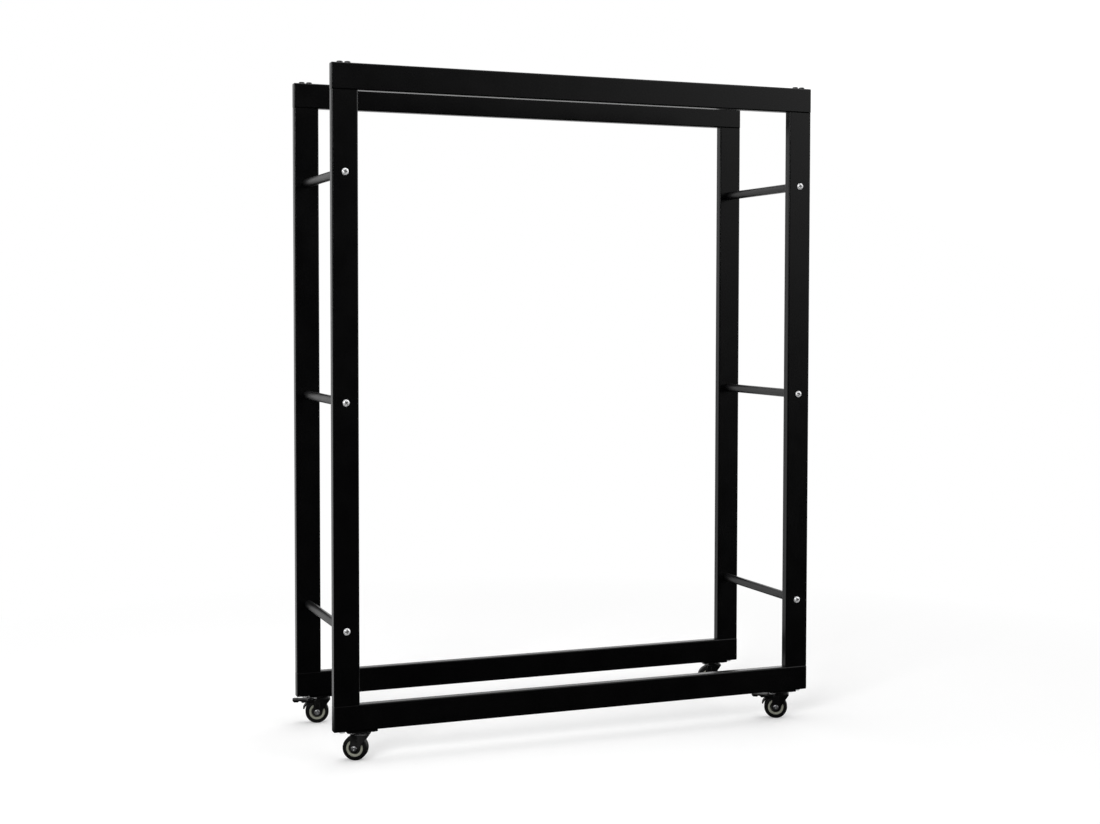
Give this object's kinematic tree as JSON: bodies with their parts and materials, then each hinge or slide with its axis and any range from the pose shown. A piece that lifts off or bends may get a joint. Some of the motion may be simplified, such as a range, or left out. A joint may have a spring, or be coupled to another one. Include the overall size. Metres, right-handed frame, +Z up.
{
  "type": "firewood rack",
  "caption": "Free-standing firewood rack of black steel tube on swivel casters: two upright rectangular frames joined by round side rungs hold stacked logs.",
  "frame": {"origin": "on the floor under the middle of the rack", "axes": "+Z up, +X to the right along the rails seen from the front, +Y from front to back"},
  "size_m": [0.8151, 0.2816, 1.0485],
  "materials": {
    "frame_black": "satin black powder coat with a fine orange peel",
    "rung_black": "satin black powder coat on round tube",
    "cap_black": "satin black moulded end cap",
    "black_bolt": "black oxide button head",
    "zinc_screw": "bright zinc plating",
    "plain_steel": "plain machined steel",
    "caster_black": "black coated pressed steel",
    "pedal_black": "black coated pressed steel",
    "axle_steel": "zinc plated steel",
    "bearing_steel": "polished balls",
    "hub_plastic": "grey moulded nylon",
    "tyre_rubber": "black rubber tread"
  },
  "bodies": {
    "frame": {"back_bottom_rail": "frame_black", "back_left_caster_plate": "caster_black", "back_left_post": "frame_black", "back_right_caster_plate": "caster_black", "back_right_post": "frame_black", "back_rung_screws": "zinc_screw", "back_top_rail": "frame_black", "bottom_corner_bolts": "zinc_screw", "caster_kingpins": "caster_black", "caster_plate_bolts": "zinc_screw", "caster_weld_nuts": "plain_steel", "front_bottom_rail": "frame_black", "front_left_caster_plate": "caster_black", "front_left_post": "frame_black", "front_right_caster_plate": "caster_black", "front_right_post": "frame_black", "front_rung_screws": "zinc_screw", "front_top_rail": "frame_black", "left_lower_rung": "rung_black", "left_middle_rung": "rung_black", "left_upper_rung": "rung_black", "post_end_blocks": "plain_steel", "rail_end_caps": "cap_black", "right_lower_rung": "rung_black", "right_middle_rung": "rung_black", "right_upper_rung": "rung_black", "rung_end_plugs": "plain_steel", "top_corner_bolts": "black_bolt"},
    "front_left_caster": {"front_left_axle": "axle_steel", "front_left_fork": "caster_black", "front_left_swivel_balls": "bearing_steel"},
    "front_left_wheel": {"front_left_tyre": "tyre_rubber", "front_left_wheel_bush": "axle_steel", "front_left_wheel_hub": "hub_plastic"},
    "front_right_caster": {"front_right_axle": "axle_steel", "front_right_brake_pin": "axle_steel", "front_right_fork": "caster_black", "front_right_swivel_balls": "bearing_steel"},
    "front_right_wheel": {"front_right_tyre": "tyre_rubber", "front_right_wheel_bush": "axle_steel", "front_right_wheel_hub": "hub_plastic"},
    "front_right_brake": {"front_right_brake_pedal": "pedal_black"},
    "back_left_caster": {"back_left_axle": "axle_steel", "back_left_brake_pin": "axle_steel", "back_left_fork": "caster_black", "back_left_swivel_balls": "bearing_steel"},
    "back_left_wheel": {"back_left_tyre": "tyre_rubber", "back_left_wheel_bush": "axle_steel", "back_left_wheel_hub": "hub_plastic"},
    "back_left_brake": {"back_left_brake_pedal": "pedal_black"},
    "back_right_caster": {"back_right_axle": "axle_steel", "back_right_fork": "caster_black", "back_right_swivel_balls": "bearing_steel"},
    "back_right_wheel": {"back_right_tyre": "tyre_rubber", "back_right_wheel_bush": "axle_steel", "back_right_wheel_hub": "hub_plastic"}
  },
  "joints": [
    {"name": "front_left_swivel", "type": "hinge", "parent": "frame", "child": "front_left_caster", "pos_m": [-0.361, -0.1235, 0.046], "axis": [0, 0, 1], "continuous": true},
    {"name": "front_left_roll", "type": "hinge", "parent": "front_left_caster", "child": "front_left_wheel", "pos_m": [-0.36887, -0.11914, 0.019], "axis": [0.4848, 0.8746, 0], "continuous": true},
    {"name": "front_right_swivel", "type": "hinge", "parent": "frame", "child": "front_right_caster", "pos_m": [0.361, -0.1235, 0.046], "axis": [0, 0, 1], "continuous": true},
    {"name": "front_right_roll", "type": "hinge", "parent": "front_right_caster", "child": "front_right_wheel", "pos_m": [0.35313, -0.11914, 0.019], "axis": [0.4848, 0.8746, 0], "continuous": true},
    {"name": "front_right_brake", "type": "hinge", "parent": "front_right_caster", "child": "front_right_brake", "pos_m": [0.34043, -0.1121, 0.0371], "axis": [-0.4848, -0.8746, 0], "range_deg": [0, 9]},
    {"name": "back_left_swivel", "type": "hinge", "parent": "frame", "child": "back_left_caster", "pos_m": [-0.361, 0.1235, 0.046], "axis": [0, 0, 1], "continuous": true},
    {"name": "back_left_roll", "type": "hinge", "parent": "back_left_caster", "child": "back_left_wheel", "pos_m": [-0.36977, 0.12552, 0.019], "axis": [0.225, 0.9744, 0], "continuous": true},
    {"name": "back_left_brake", "type": "hinge", "parent": "back_left_caster", "child": "back_left_brake", "pos_m": [-0.38391, 0.12879, 0.0371], "axis": [-0.225, -0.9744, 0], "range_deg": [0, 9]},
    {"name": "back_right_swivel", "type": "hinge", "parent": "frame", "child": "back_right_caster", "pos_m": [0.361, 0.1235, 0.046], "axis": [0, 0, 1], "continuous": true},
    {"name": "back_right_roll", "type": "hinge", "parent": "back_right_caster", "child": "back_right_wheel", "pos_m": [0.35254, 0.12658, 0.019], "axis": [0.342, 0.9397, 0], "continuous": true}
  ]
}
